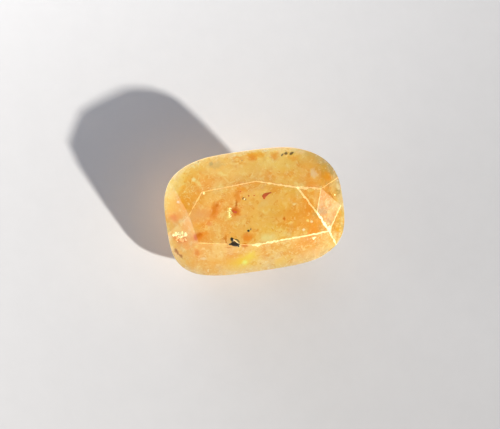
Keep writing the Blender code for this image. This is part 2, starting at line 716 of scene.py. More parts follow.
@dataclass(frozen=True)
class WornCorundum:
    """Abraded sapphire at the facets' edges: the eye gets a chalky cream line, broken by honey gaps.

    A layer holds its colour, its noise's scale per millimetre, and the sums of noise and wear where it
    starts and where it is full.
    """

    honey: str = "#CC9A4E"
    layers: tuple[tuple[str, float, tuple[float, float]], ...] = (
        ("#DDB67A", 1.3, (0.75, 1.45)),
        ("#F2DDB0", 5.0, (1.15, 1.75)),
    )
    noise_weight: float = 1.6

    def build(self) -> Material:
        """Makes the material.

        Returns:
            The material, which reads Object coordinates and the mesh's wear attribute.
        """
        material, tree = empty_material("abraded_sapphire")
        coordinates = add_node(tree, "ShaderNodeTexCoord")
        wear = add_node(tree, "ShaderNodeAttribute", {"attribute_name": "wear"})
        place = coordinates.outputs["Object"]
        colour = linear(self.honey)
        for tone, scale, limits in self.layers:
            grain = add_node(
                tree,
                "ShaderNodeTexNoise",
                inputs={"Vector": place, "Scale": scale / MM, "Detail": 4.0, "Roughness": 0.7},
            )
            total = add_node(
                tree,
                "ShaderNodeMath",
                {"operation": "MULTIPLY_ADD"},
                {0: grain.outputs["Fac"], 1: self.noise_weight, 2: wear.outputs["Fac"]},
            )
            colour = lay_over(tree, colour, tone, total.outputs["Value"], limits)
        finish_material(
            tree,
            {
                "Base Color": colour,
                "Roughness": 0.6,
                "IOR": 1.77,
                "Subsurface Weight": 1.0,
                "Subsurface Radius": (1.0, 0.75, 0.4),
                "Subsurface Scale": 1.5 * MM,
            },
        )
        return material


@dataclass(frozen=True)
class TwoToneMineral:
    """A mineral grain or the filling of a small feather: the eye gets an uneven spot of two near tones."""

    name: str
    main: str
    second: str
    scale: float = 4.0
    detail: float = 4.0
    limits: tuple[float, float] = (0.40, 0.65)
    roughness: float = 0.45
    refraction: float = 1.5

    def build(self) -> Material:
        """Makes the material.

        Returns:
            The material, which reads Object coordinates.
        """
        material, tree = empty_material(self.name)
        coordinates = add_node(tree, "ShaderNodeTexCoord")
        grain = add_node(
            tree,
            "ShaderNodeTexNoise",
            inputs={"Vector": coordinates.outputs["Object"], "Scale": self.scale / MM, "Detail": self.detail},
        )
        colour = lay_over(tree, linear(self.main), self.second, grain.outputs["Fac"], self.limits)
        finish_material(tree, {"Base Color": colour, "Roughness": self.roughness, "IOR": self.refraction})
        return material


@dataclass(frozen=True)
class DarkCrystal(TwoToneMineral):
    """A dark crystal that reaches the surface: the eye gets glossy faces with a thin, lighter edge."""

    scale: float = 3.0
    detail: float = 3.0
    limits: tuple[float, float] = (0.50, 0.72)
    roughness: float = 0.3
    refraction: float = 1.6


@dataclass(frozen=True)
class WhitePaper:
    """Uncoated white paper under the stone: the eye gets a pale, faintly uneven sheet.

    Its fibres, about 0.03 mm wide, are too fine to show, so a mottle of about 2 mm stands for them.
    """

    light: str = "#B9BDC5"
    dark: str = "#B3B7BF"

    def build(self) -> Material:
        """Makes the material.

        Returns:
            The material, which reads Object coordinates.
        """
        material, tree = empty_material("white_paper")
        coordinates = add_node(tree, "ShaderNodeTexCoord")
        place = coordinates.outputs["Object"]
        fibres = add_node(
            tree,
            "ShaderNodeTexNoise",
            inputs={"Vector": place, "Scale": 0.6 / MM, "Detail": 6.0, "Roughness": 0.7},
        )
        colour = lay_over(tree, linear(self.light), self.dark, fibres.outputs["Fac"], (0.0, 1.0))
        finish_material(tree, {"Base Color": colour, "Roughness": 0.9, "Specular IOR Level": 0.2})
        return material


@dataclass(frozen=True)
class WornEdge:
    """A strip that wear has taken off a facet edge, between two places of the stone's frame."""

    start: tuple[float, float]
    end: tuple[float, float]
    start_width: float
    end_width: float
    whiteness: float

    def width_at(self, point: Vector, slack: float) -> float | None:
        """Says how far the wear reaches at a point on the edge.

        Args:
            point: A point in the stone's frame.
            slack: How far from the line a point may lie, in millimetres.

        Returns:
            The reach on each side of the edge, or None if the point is off this strip.
        """
        start = Vector(self.start)
        along = Vector(self.end) - start
        offset = Vector((point.x, point.y)) - start
        share = offset.dot(along) / along.length_squared
        if share < -slack / along.length or share > 1 + slack / along.length:
            return None
        if (offset - along * share).length > slack:
            return None
        share = min(max(share, 0.0), 1.0)
        return self.start_width + (self.end_width - self.start_width) * share


@dataclass(frozen=True)
class Chamfer:
    """One cut that takes off a worn facet edge: its plane and how white it is."""

    point: Vector
    normal: Vector
    width: float
    whiteness: float


# The crown's corners in the stone's own frame, in millimetres.
TABLE_RIGHT = (4.15, -0.50)
TABLE_UPPER_RIGHT = (3.03, 1.41)
TABLE_TOP = (0.32, 2.23)
TABLE_UPPER_LEFT = (-3.42, 2.02)
TABLE_LEFT = (-4.51, 0.57)
TABLE_LOWER_LEFT = (-4.13, -1.41)
TABLE_BOTTOM = (-0.39, -2.10)
TABLE_LOWER_RIGHT = (3.19, -1.98)
STAR_UPPER_RIGHT = (4.65, 1.05)
STAR_LOWER_RIGHT = (4.87, -1.98)
KITE_TIP = (5.97, -0.41)
RIM_UPPER_RIGHT = (6.00, 1.60)
RIM_LOWER_RIGHT = (5.22, -3.05)

WORN_EDGES = (
    WornEdge(TABLE_UPPER_RIGHT, TABLE_RIGHT, 0.060, 0.050, 0.45),
    WornEdge(TABLE_RIGHT, STAR_LOWER_RIGHT, 0.055, 0.075, 0.70),
    WornEdge(STAR_UPPER_RIGHT, TABLE_RIGHT, 0.020, 0.025, 0.40),
    WornEdge(TABLE_UPPER_RIGHT, STAR_UPPER_RIGHT, 0.075, 0.050, 0.45),
    WornEdge(STAR_UPPER_RIGHT, KITE_TIP, 0.012, 0.012, 0.15),
    WornEdge(KITE_TIP, STAR_LOWER_RIGHT, 0.035, 0.050, 0.45),
    WornEdge(STAR_LOWER_RIGHT, RIM_LOWER_RIGHT, 0.060, 0.030, 0.60),
    WornEdge(TABLE_LOWER_RIGHT, STAR_LOWER_RIGHT, 0.040, 0.050, 0.60),
    WornEdge(TABLE_BOTTOM, TABLE_LOWER_RIGHT, 0.075, 0.045, 0.65),
    WornEdge(TABLE_LOWER_LEFT, TABLE_BOTTOM, 0.030, 0.020, 0.35),
    WornEdge(TABLE_LEFT, TABLE_UPPER_LEFT, 0.030, 0.035, 0.35),
    WornEdge(TABLE_UPPER_LEFT, TABLE_TOP, 0.030, 0.030, 0.35),
    WornEdge(TABLE_TOP, TABLE_UPPER_RIGHT, 0.030, 0.045, 0.45),
    WornEdge(STAR_UPPER_RIGHT, RIM_UPPER_RIGHT, 0.012, 0.020, 0.30),
)


@dataclass
class Stone:
    """The cut stone itself, with its facet edges worn off by small cuts, in millimetres and degrees."""

    frame: StoneFrame
    edges: tuple[WornEdge, ...] = WORN_EDGES
    slack: float = 0.16
    pavilion_wear: float = 0.012
    pavilion_whiteness: float = 0.1
    girdle_whiteness: float = 0.3
    girdle_slope: float = 0.1
    facet_slope: float = 0.12
    shortest_edge: float = 0.25
    least_turn: float = 1.5
    least_facet: float = 0.05
    merge_reach: float = 0.002
    cut_reach: float = 0.0005
    flat_turn: float = 0.6
    same_direction: float = 0.99999
    ragged_above: float = 0.025
    ragged_step: float = 0.07
    ragged_share: float = 1.2
    waver_scale: float = 3.0
    fine_waver_scale: float = 9.0
    fine_waver_share: float = 0.8
    fade_in: float = 4.0

    def build(self, node: Piece, polished: Material, worn: Material) -> Piece:
        """Copies the CAD node, wears its edges and gives it its materials.

        Args:
            node: The CAD node.
            polished: The material of the facets.
            worn: The material of the worn edges and the girdle.

        Returns:
            The finished piece, which rides on the body and stands for the node.
        """
        stone = self._copy(node)
        stone.data.materials.clear()
        stone.data.materials.append(polished)
        stone.data.materials.append(worn)
        chamfers = self._plan_chamfers(stone)
        self._cut(stone, chamfers)
        self._assign(stone, chamfers)
        self._rag(stone)
        take_up(stone)
        rescale(stone, MM)
        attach(stone, BODY)
        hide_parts(STONE_NODE)
        return stone

    def _copy(self, node: Piece) -> Piece:
        """Copies the CAD node and merges its loose triangles into whole facets.

        Args:
            node: The CAD node.

        Returns:
            The copy, in millimetres.
        """
        take_up(node)
        bpy.ops.object.duplicate()
        stone = bpy.context.object
        bpy.ops.object.parent_clear(type="CLEAR_KEEP_TRANSFORM")
        for key in list(stone.keys()):
            if key.startswith("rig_"):
                del stone[key]
        stone.name = "stone"
        rescale(stone, 1 / MM)
        bpy.ops.object.mode_set(mode="EDIT")
        bpy.ops.mesh.select_all(action="SELECT")
        bpy.ops.mesh.remove_doubles(threshold=self.merge_reach)
        bpy.ops.mesh.dissolve_limited(angle_limit=math.radians(self.flat_turn))
        bpy.ops.object.mode_set(mode="OBJECT")
        return stone

    def _plan_chamfers(self, stone: Piece) -> list[Chamfer]:
        """Works out the cut for each facet edge, before any cut is made.

        Args:
            stone: The merged copy, with whole facets.

        Returns:
            The cuts, widest first.
        """
        planned = []
        shape = bmesh.new()
        shape.from_mesh(stone.data)
        shape.normal_update()
        for edge in shape.edges:
            if len(edge.link_faces) != 2 or edge.calc_length() < self.shortest_edge:
                continue
            if edge.calc_face_angle() < math.radians(self.least_turn):
                continue
            if min(face.calc_area() for face in edge.link_faces) < self.least_facet:
                continue
            slopes = [self.frame.direction_to_stone(face.normal).z for face in edge.link_faces]
            if min(slopes) > self.facet_slope:
                wear = self._wear_of(edge)
            elif max(slopes) < -self.facet_slope:
                wear = ([self.pavilion_wear] * 2, self.pavilion_whiteness)
            else:
                wear = None
            if wear is not None:
                planned.append(self._chamfer(edge, *wear))
        shape.free()
        return sorted(planned, key=lambda chamfer: -chamfer.width)

    def _wear_of(self, edge: bmesh.types.BMEdge) -> tuple[list[float], float] | None:
        """Looks up how worn a crown edge is.

        Args:
            edge: The facet edge.

        Returns:
            How far the wear reaches at its two ends and how white it is, or None if it isn't worn.
        """
        ends = [self.frame.to_stone(vertex.co) for vertex in edge.verts]
        for strip in self.edges:
            widths = [strip.width_at(end, self.slack) for end in ends]
            if None not in widths:
                return widths, strip.whiteness
        return None

    def _chamfer(self, edge: bmesh.types.BMEdge, widths: Sequence[float], whiteness: float) -> Chamfer:
        """Finds the plane through the lines that the wear reaches to on both facets.

        Args:
            edge: The facet edge.
            widths: The reach at its two ends.
            whiteness: How white the strip is.

        Returns:
            The cut.
        """
        start, end = (vertex.co.copy() for vertex in edge.verts)
        along = (end - start).normalized()
        inward = []
        for face in edge.link_faces:
            across = face.normal.cross(along).normalized()
            if across.dot(face.calc_center_median() - start) < 0:
                across = -across
            inward.append(across)
        first = start + inward[0] * widths[0]
        second = end + inward[0] * widths[1]
        third = start + inward[1] * widths[0]
        normal = (second - first).cross(third - first).normalized()
        outward = edge.link_faces[0].normal + edge.link_faces[1].normal
        if normal.dot(outward) < 0:
            normal = -normal
        return Chamfer(first, normal, max(widths), whiteness)

    def _cut(self, stone: Piece, chamfers: Iterable[Chamfer]) -> None:
        """Takes off each worn edge with one flat cut.

        Args:
            stone: The merged copy.
            chamfers: The cuts.
        """
        bpy.context.view_layer.objects.active = stone
        bpy.ops.object.mode_set(mode="EDIT")
        for chamfer in chamfers:
            bpy.ops.mesh.select_all(action="SELECT")
            bpy.ops.mesh.bisect(
                plane_co=chamfer.point,
                plane_no=chamfer.normal,
                use_fill=True,
                clear_outer=True,
                threshold=self.cut_reach,
            )
        bpy.ops.mesh.select_all(action="SELECT")
        bpy.ops.mesh.remove_doubles(threshold=self.merge_reach)
        bpy.ops.mesh.normals_make_consistent(inside=False)
        bpy.ops.object.mode_set(mode="OBJECT")

    def _assign(self, stone: Piece, chamfers: Sequence[Chamfer]) -> None:
        """Gives the cuts and the girdle the worn material, and notes how white each face is.

        Args:
            stone: The cut mesh.
            chamfers: The cuts that were made.
        """
        wear = stone.data.attributes.new("wear", "FLOAT", "FACE")
        reach = stone.data.attributes.new("wear_width", "FLOAT", "FACE")
        for face in stone.data.polygons:
            if abs(self.frame.direction_to_stone(face.normal).z) < self.girdle_slope:
                face.material_index = 1
                face.use_smooth = True
                wear.data[face.index].value = self.girdle_whiteness
                continue
            for chamfer in chamfers:
                if face.normal.dot(chamfer.normal) < self.same_direction:
                    continue
                if abs((face.center - chamfer.point).dot(chamfer.normal)) > self.merge_reach:
                    continue
                face.material_index = 1
                wear.data[face.index].value = chamfer.whiteness
                reach.data[face.index].value = chamfer.width
                break

    def _rag(self, stone: Piece) -> None:
        """Makes the borders of the wider strips uneven, each point staying in its facet's plane.

        Args:
            stone: The cut mesh, with its faces' wear widths.
        """
        widths = [width.value for width in stone.data.attributes["wear_width"].data]
        shape = bmesh.new()
        shape.from_mesh(stone.data)
        shape.faces.ensure_lookup_table()
        shape.normal_update()
        jobs = []
        for edge in shape.edges:
            if len(edge.link_faces) != 2:
                continue
            strip, facet = edge.link_faces
            if widths[strip.index] <= widths[facet.index]:
                strip, facet = facet, strip
            width = widths[strip.index]
            if width < self.ragged_above or widths[facet.index] > 0 or facet.material_index == 1:
                continue
            cuts = int(edge.calc_length() / self.ragged_step) - 1
            if cuts > 0:
                across = facet.normal.cross((edge.verts[1].co - edge.verts[0].co).normalized())
                jobs.append((edge, across.normalized(), width, cuts))
        for edge, across, width, cuts in jobs:
            start = edge.verts[0].co.copy()
            end = edge.verts[1].co.copy()
            made = bmesh.ops.subdivide_edges(shape, edges=[edge], cuts=cuts, use_grid_fill=False)
            points = [part for part in made["geom_inner"] if isinstance(part, bmesh.types.BMVert)]
            for point in points:
                share = (point.co - start).length / (end - start).length
                fade = min(min(share, 1 - share) * self.fade_in, 1.0)
                fine = noise.noise(point.co * self.fine_waver_scale)
                waver = noise.noise(point.co * self.waver_scale) + self.fine_waver_share * fine
                point.co += across * waver * self.ragged_share * width * fade
        strips = [face for face in shape.faces if face.material_index == 1 and len(face.verts) > 4]
        bmesh.ops.triangulate(shape, faces=strips)
        shape.to_mesh(stone.data)
        shape.free()


@dataclass(frozen=True)
class Inclusion:
    """A small grain at the surface, drawn as an outline of pixels in the photograph's frame."""

    name: str
    outline: tuple[Pixel, ...]
    rise: float = 0.012
    depth: float = 0.08
    roughness: float = 0.6


@dataclass(frozen=True)
class FlakeField:
    """A scatter of tiny flakes inside an ellipse of the photograph's frame, in pixels."""

    name: str
    centre: Pixel
    reach: Pixel
    count: int
    size: tuple[float, float]
    seed: int
    rise: float = 0.006
    depth: float = 0.02
    longest: float = 2.2
    corners: int = 5
    unevenness: float = 0.25

    def flakes(self) -> list[Inclusion]:
        """Draws the flakes' outlines.

        Returns:
            One inclusion for each flake.
        """
        chance = random.Random(self.seed)
        made = []
        for number in range(self.count):
            away = math.sqrt(chance.random())
            turn = chance.uniform(0, 2 * math.pi)
            x = self.centre[0] + self.reach[0] * away * math.cos(turn)
            y = self.centre[1] + self.reach[1] * away * math.sin(turn)
            size = chance.uniform(*self.size)
            stretch = chance.uniform(1.0, self.longest)
            lean = chance.uniform(0, math.pi)
            outline = []
            for corner in range(self.corners):
                shift = chance.uniform(-self.unevenness, self.unevenness)
                angle = 2 * math.pi * (corner + shift) / self.corners
                along = size * math.cos(angle) * stretch
                across = size * math.sin(angle)
                corner_x = x + along * math.cos(lean) - across * math.sin(lean)
                corner_y = y + along * math.sin(lean) + across * math.cos(lean)
                outline.append((corner_x, corner_y))
            made.append(Inclusion(f"{self.name}_{number}", tuple(outline), self.rise, self.depth))
        return made


@dataclass
class InclusionSet:
    """A group of grains and flakes of one kind, in millimetres."""

    slot: Slot
    grains: tuple[Inclusion, ...] = ()
    fields: tuple[FlakeField, ...] = ()
    cuts: int = 2
    unevenness_scale: float = 9.0
    rim_power: int = 4
    rim_sink: float = 0.003
    border: float = 1e-4

    def build(self, surface: CutSurface, material: Material) -> list[Piece]:
        """Makes each grain as a piece of its own, and each field of flakes as one piece.

        Args:
            surface: The stone's surface, which carries the grains.
            material: Their material.

        Returns:
            The finished pieces.
        """
        pieces = [self._model(grain, surface) for grain in self.grains]
        for patch in self.fields:
            flakes = [self._model(flake, surface) for flake in patch.flakes()]
            deselect_all()
            for flake in flakes:
                flake.select_set(True)
            bpy.context.view_layer.objects.active = flakes[0]
            bpy.ops.object.join()
            flakes[0].name = patch.name
            pieces.append(flakes[0])
        for piece in pieces:
            take_up(piece)
            piece.data.materials.clear()
            piece.data.materials.append(material)
            rescale(piece, MM)
            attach(piece, BODY)
        return pieces

    def _model(self, grain: Inclusion, surface: CutSurface) -> Piece:
        """Models one grain: a thin, uneven lens that follows the facets under its outline.

        Args:
            grain: The grain.
            surface: The stone's surface.

        Returns:
            The grain in millimetres.
        """
        deselect_all()
        bpy.ops.mesh.primitive_circle_add(vertices=len(grain.outline), radius=1.0, fill_type="TRIFAN")
        piece = bpy.context.object
        piece.name = grain.name
        ring = [vertex.co.copy() for vertex in piece.data.vertices if vertex.co.length > 0.5]
        bpy.ops.object.mode_set(mode="EDIT")
        bpy.ops.mesh.select_all(action="SELECT")
        bpy.ops.mesh.subdivide(number_cuts=self.cuts)
        bpy.ops.object.mode_set(mode="OBJECT")
        outward = Vector()
        for vertex in piece.data.vertices:
            pixel, share = self._spread(vertex.co, ring, grain.outline)
            point, normal = surface.under(pixel)
            uneven = 1.0 + grain.roughness * noise.noise(point * self.unevenness_scale)
            rim = share**self.rim_power
            vertex.co = point + normal * (grain.rise * uneven * (1.0 - rim) - self.rim_sink * rim)
            outward += normal
        piece.data.update()
        facing = sum((face.normal * face.area for face in piece.data.polygons), Vector())
        bpy.ops.object.mode_set(mode="EDIT")
        bpy.ops.mesh.select_all(action="SELECT")
        if facing.dot(outward) < 0:
            bpy.ops.mesh.flip_normals()
        bpy.ops.object.mode_set(mode="OBJECT")
        thick = piece.modifiers.new("thickness", "SOLIDIFY")
        thick.thickness = grain.depth
        thick.offset = -1.0
        bpy.ops.object.modifier_apply(modifier=thick.name)
        return piece

    def _spread(
        self, place: Vector, ring: Sequence[Vector], outline: Sequence[Pixel]
    ) -> tuple[Pixel, float]:
        """Carries a place in the starting circle over to the outline.

        Args:
            place: A place in the circle of radius 1.
            ring: The circle's corners.
            outline: The pixels that stand for these corners.

        Returns:
            The pixel, and how far out it is, from 0 in the middle to 1 on the outline.
        """
        middle = tuple(sum(values) / len(outline) for values in zip(*outline))
        for index, first in enumerate(ring):
            following = (index + 1) % len(ring)
            second = ring[following]
            area = first.x * second.y - first.y * second.x
            near = (place.x * second.y - place.y * second.x) / area
            far = (first.x * place.y - first.y * place.x) / area
            if near < -self.border or far < -self.border:
                continue
            start = outline[index]
            end = outline[following]
            x, y = (m + near * (s - m) + far * (e - m) for m, s, e in zip(middle, start, end))
            return (x, y), min(near + far, 1.0)
        return middle, 0.0


# Each grain's outline is in pixels of the photograph's frame.
BLACK_GRAINS = (
    Inclusion(
        "black_crystal_main",
        (
            (230.4, 243.4), (232.4, 241.6), (234.6, 241.0), (236.8, 242.0), (238.8, 243.0),
            (240.2, 244.2), (239.2, 245.4), (237.6, 246.4), (235.2, 246.7), (232.6, 246.1),
            (231.0, 245.2),
        ),
        rise=0.03,
    ),
    Inclusion(
        "black_crystal_upper",
        (
            (230.2, 238.0), (231.4, 237.0), (233.2, 237.8), (233.9, 239.6), (233.3, 241.5),
            (231.6, 241.9), (230.4, 240.4),
        ),
        rise=0.02,
    ),
    Inclusion(
        "black_crystal_tail",
        ((228.2, 244.2), (230.4, 243.2), (231.8, 244.3), (230.6, 245.4), (229.0, 245.1)),
    ),
    Inclusion(
        "black_crystal_leg",
        ((237.4, 245.4), (238.8, 245.0), (239.6, 246.6), (239.0, 247.5), (237.9, 246.8)),
    ),
    Inclusion(
        "black_double_lower",
        ((247.0, 230.3), (248.3, 229.3), (249.7, 230.0), (250.0, 231.3), (248.9, 232.1), (247.4, 231.7)),
    ),
    Inclusion(
        "black_ring_left",
        ((242.2, 198.7), (242.9, 197.3), (244.1, 196.9), (243.7, 198.1), (243.3, 199.3), (242.6, 200.1)),
    ),
    Inclusion(
        "black_ring_right",
        ((245.6, 198.3), (246.4, 199.0), (245.9, 200.1), (244.6, 200.6), (245.0, 199.6)),
    ),
)

OLIVE_GRAINS = (
    Inclusion(
        "olive_double_upper",
        ((249.6, 228.7), (250.9, 227.9), (251.8, 228.8), (251.3, 230.1), (250.1, 230.3)),
    ),
    Inclusion(
        "olive_specks_left",
        ((280.5, 155.8), (281.7, 154.0), (283.7, 152.9), (283.5, 154.7), (281.8, 156.6)),
    ),
    Inclusion(
        "olive_specks_middle",
        ((284.2, 152.7), (286.2, 151.8), (287.9, 152.8), (287.5, 154.5), (285.6, 155.0), (284.2, 154.1)),
    ),
    Inclusion(
        "olive_specks_right",
        (
            (289.2, 153.7), (290.7, 152.2), (292.6, 151.5), (294.2, 151.7), (293.1, 153.8),
            (291.2, 155.1), (289.6, 155.1),
        ),
    ),
    Inclusion("olive_speck_top", ((241.3, 160.1), (242.5, 160.0), (242.7, 161.1), (241.5, 161.3))),
    Inclusion("olive_speck_left", ((197.6, 161.6), (198.9, 161.2), (199.1, 162.3), (198.0, 162.6))),
    Inclusion("olive_speck_low", ((229.1, 233.3), (229.9, 232.4), (230.7, 232.1), (230.4, 233.2))),
    Inclusion(
        "brown_crystal_edge",
        (
            (234.3, 238.9), (236.5, 238.5), (239.3, 240.4), (240.4, 242.8), (238.8, 242.6),
            (236.6, 241.3), (234.7, 240.3),
        ),
    ),
)

IRON_GRAINS = (
    Inclusion(
        "red_fleck",
        (
            (261.5, 196.2), (262.8, 193.9), (265.2, 192.6), (268.4, 192.2), (271.6, 191.7),
            (271.9, 192.8), (269.4, 193.9), (267.4, 195.6), (265.8, 197.4), (264.6, 199.8),
            (263.1, 199.3), (262.3, 197.7),
        ),
    ),
    Inclusion("red_dot_left", ((247.9, 195.0), (249.3, 194.9), (249.7, 196.4), (248.5, 197.0))),
    Inclusion("red_dot_right", ((253.0, 195.2), (254.4, 194.8), (255.3, 195.6), (254.0, 196.3))),
    Inclusion("red_dot_top", ((239.7, 191.2), (241.0, 190.8), (241.4, 191.9), (240.1, 192.3))),
    Inclusion(
        "brown_cluster",
        (
            (231.2, 210.2), (233.2, 209.4), (234.4, 211.0), (236.8, 211.4), (237.2, 213.2),
            (235.0, 213.6), (232.4, 212.4),
        ),
    ),
)

MILKY_SPECKS_AND_GLINTS = (
    Inclusion(
        "ring_centre",
        ((243.9, 198.5), (245.0, 198.1), (245.4, 199.0), (244.6, 199.8), (243.8, 199.5)),
    ),
    # A painted highlight: a thin pale grain where a glint sits on the right.
    Inclusion(
        "painted_glint_right",
        ((334.0, 194.4), (334.9, 193.7), (335.7, 194.8), (335.1, 195.9), (334.1, 195.6)),
        rise=0.002,
    ),
    # Painted highlights: thin pale grains along the black crystal's lit edges.
    Inclusion(
        "crystal_glint_upper",
        ((232.8, 239.6), (233.2, 239.2), (235.8, 240.3), (238.2, 241.8), (235.4, 240.9)),
        rise=0.04,
    ),
    Inclusion(
        "crystal_glint_lower",
        ((234.6, 241.0), (235.0, 240.8), (237.6, 242.4), (239.8, 244.2), (237.2, 243.0)),
        rise=0.04,
    ),
)

MILKY_FIELDS = (
    FlakeField("sparkle_flakes", (180.0, 234.6), (7.0, 2.8), count=30, size=(0.45, 1.1), seed=3),
    FlakeField("low_flakes", (180.5, 239.6), (6.0, 2.6), count=12, size=(0.3, 0.7), seed=8),
    FlakeField("cluster_flakes", (229.8, 212.5), (1.8, 5.5), count=18, size=(0.3, 0.7), seed=5),
)

IRON_FIELDS = (
    FlakeField("sparkle_stains", (181.0, 239.0), (6.5, 4.0), count=16, size=(0.4, 0.9), seed=11, rise=0.004),
)

WORN_CHIPS = (
    Inclusion(
        "chip_upper_right",
        ((295.4, 186.7), (297.6, 185.9), (299.8, 187.0), (299.0, 189.2), (297.2, 190.2), (296.2, 188.6)),
        rise=0.0,
        depth=0.02,
    ),
    Inclusion(
        "chip_upper_left",
        ((202.4, 192.4), (204.0, 191.6), (205.4, 192.8), (204.8, 194.8), (202.9, 194.7)),
        rise=0.006,
        depth=0.02,
    ),
    Inclusion(
        "chip_lower_right",
        (
            (328.0, 226.2), (330.0, 224.8), (331.7, 227.0), (331.3, 230.4), (330.9, 233.2),
            (328.9, 232.8), (328.3, 229.4),
        ),
        rise=0.008,
        depth=0.03,
    ),
    Inclusion(
        "chip_below_right",
        ((312.0, 237.5), (314.4, 236.7), (316.6, 236.7), (315.1, 238.4), (313.7, 240.1), (312.5, 239.4)),
        rise=0.006,
        depth=0.02,
    ),
    Inclusion(
        "chip_below_middle",
        ((268.2, 242.4), (270.6, 240.7), (273.2, 241.0), (273.6, 242.6), (271.0, 243.9)),
        rise=0.006,
        depth=0.02,
    ),
    Inclusion(
        "chip_below_left",
        ((254.6, 245.8), (256.8, 244.0), (260.2, 243.9), (260.6, 245.6), (257.4, 246.9)),
        rise=0.006,
        depth=0.02,
    ),
)

# Each cloud gives its colour, its scale, the noise where it starts and where it is full, and its strength.
CLOUDS = (
    Cloud("#FFD591", 0.55, 0.46, 0.62, 0.60),
    Cloud("#EEA23A", 0.42, 0.49, 0.64, 0.62),
    Cloud("#E9BE88", 0.80, 0.53, 0.68, 0.60),
    Cloud("#FFE2A4", 1.70, 0.54, 0.68, 0.60),
    Cloud("#E8952C", 2.40, 0.55, 0.70, 0.60),
    Cloud("#FFE9B4", 5.00, 0.52, 0.72, 0.60),
    Cloud("#E29A3C", 3.60, 0.52, 0.74, 0.45),
)

# Each patch gives its pixel, its half sizes in millimetres, its colour and strength, and where it
# needs them its turn in degrees, its depth in millimetres and its softness. Later ones lie on top.
# Broad patches of painted light and shade on facet regions, mixed with the stone's own tone: paler on the top
# facets and the left end, deeper amber on the sunlit right.
BROAD_TONES_AND_PAINTED_LIGHT = (
    Patch((262.0, 166.0), (1.90, 0.62), "#FFD690", 0.55, 8.0, 0.9, 0.95),
    Patch((222.0, 171.0), (1.30, 0.55), "#FFD898", 0.55, -20.0, 0.9, 0.95),
    Patch((312.0, 166.0), (1.10, 0.55), "#EFA93C", 0.60, -25.0, 0.9, 0.95),
    Patch((318.0, 182.0), (0.75, 0.35), "#EFA83A", 0.60, -10.0, 0.9, 0.95),
    Patch((286.0, 214.0), (1.40, 0.55), "#EDB04E", 0.50, 0.0, 0.8, 0.95),
    Patch((276.0, 198.0), (1.10, 0.42), "#F6C985", 0.50, 0.0, 0.8, 0.95),
    Patch((312.0, 224.0), (0.80, 0.55), "#DFA344", 0.55, -20.0, 0.8, 0.95),
    Patch((308.0, 199.0), (0.45, 0.40), "#E0A040", 0.60, -40.0, 0.8, 0.95),
    Patch((310.0, 254.0), (1.20, 0.45), "#F3CB94", 0.55, 12.0, 0.9, 0.95),
    Patch((222.0, 262.0), (1.60, 0.42), "#F4AE48", 0.60, -4.0, 0.9, 0.95),
    Patch((174.0, 208.0), (0.42, 1.10), "#FFC069", 0.50, 0.0, 0.9, 0.95),
)

RIGHT_SHOULDER = (
    Patch((326.5, 177.0), (0.50, 0.34), "#EA9A26", 0.75, -40.0),
    Patch((309.0, 178.0), (0.40, 0.36), "#F0A83A", 0.50),
)

TABLE_LEFT_STAINS = (
    Patch((200.0, 215.0), (0.72, 0.58), "#DDB486", 0.75, 0.0, 0.6, 0.85),
    Patch((209.5, 223.5), (0.24, 0.20), "#EDA578", 0.60),
    Patch((214.5, 210.5), (0.32, 0.64), "#DE9636", 0.85, -18.0),
    Patch((217.0, 205.5), (0.14, 0.14), "#D28428", 0.80),
)

LEFT_END = (
    Patch((175.2, 217.4), (0.62, 0.38), "#EA9E34", 0.95, 12.0),
    Patch((173.4, 217.8), (0.34, 0.22), "#DE8E26", 0.85),
    Patch((199.0, 236.6), (0.78, 0.42), "#E3922A", 0.90, 8.0, 0.6, 0.9),
    Patch((195.4, 237.2), (0.14, 0.24), "#CC7616", 1.00),
    Patch((199.5, 234.6), (0.24, 0.15), "#CF7E1C", 1.00, 20.0),
    Patch((180.0, 237.6), (0.78, 0.46), "#F6A850", 0.75, -10.0),
    Patch((179.5, 234.2), (0.52, 0.15), "#FFF0B4", 0.85, -14.0),
    Patch((179.6, 241.4), (0.22, 0.20), "#E6902C", 0.90),
    Patch((185.0, 240.2), (0.19, 0.24), "#E6922E", 0.90),
    Patch((174.5, 238.2), (0.16, 0.22), "#E68E34", 0.75),
    Patch((178.6, 253.8), (0.46, 0.10), "#9A5E1A", 0.95, -55.0),
    Patch((176.0, 250.0), (0.14, 0.12), "#8A5014", 0.80, -55.0),
    Patch((197.0, 252.8), (0.20, 0.30), "#E08A22", 0.75),
    Patch((203.5, 258.6), (0.24, 0.13), "#F6DDB4", 0.80),
    Patch((188.0, 262.0), (0.50, 0.20), "#F2A23E", 0.50, -35.0),
)

# A painted glow: a bright yellow spot where focused light glows inside the stone's lower side.
PAINTED_CAUSTIC_GLOW = (
    Patch((243.0, 261.0), (1.05, 0.55), "#FFCE3A", 0.85, 14.0, 0.8, 0.95),
    Patch((250.0, 256.0), (0.50, 0.28), "#FFDB55", 0.80, 50.0, 0.8, 0.95),
    Patch((244.9, 262.2), (0.20, 0.20), "#FFFF86", 1.00, 0.0, 0.6, 0.9),
)

CRYSTAL_HALO = (
    Patch((245.0, 245.4), (0.26, 0.15), "#DC8420", 0.95),
    Patch((247.5, 237.5), (0.50, 0.36), "#DF9228", 0.75),
    Patch((225.2, 239.5), (0.07, 0.44), "#D28A38", 0.85),
    Patch((228.5, 247.6), (0.24, 0.06), "#D2843C", 0.60, -12.0),
)

TABLE_MIDDLE_STAINS = (
    Patch((234.8, 211.4), (0.34, 0.25), "#D98C2A", 0.90),
    Patch((229.3, 213.5), (0.11, 0.42), "#FFF0A8", 0.85),
    Patch((236.3, 203.8), (0.09, 0.30), "#BE762C", 0.85, -12.0),
    Patch((238.0, 196.0), (0.20, 0.34), "#D8953A", 0.60, 8.0),
)

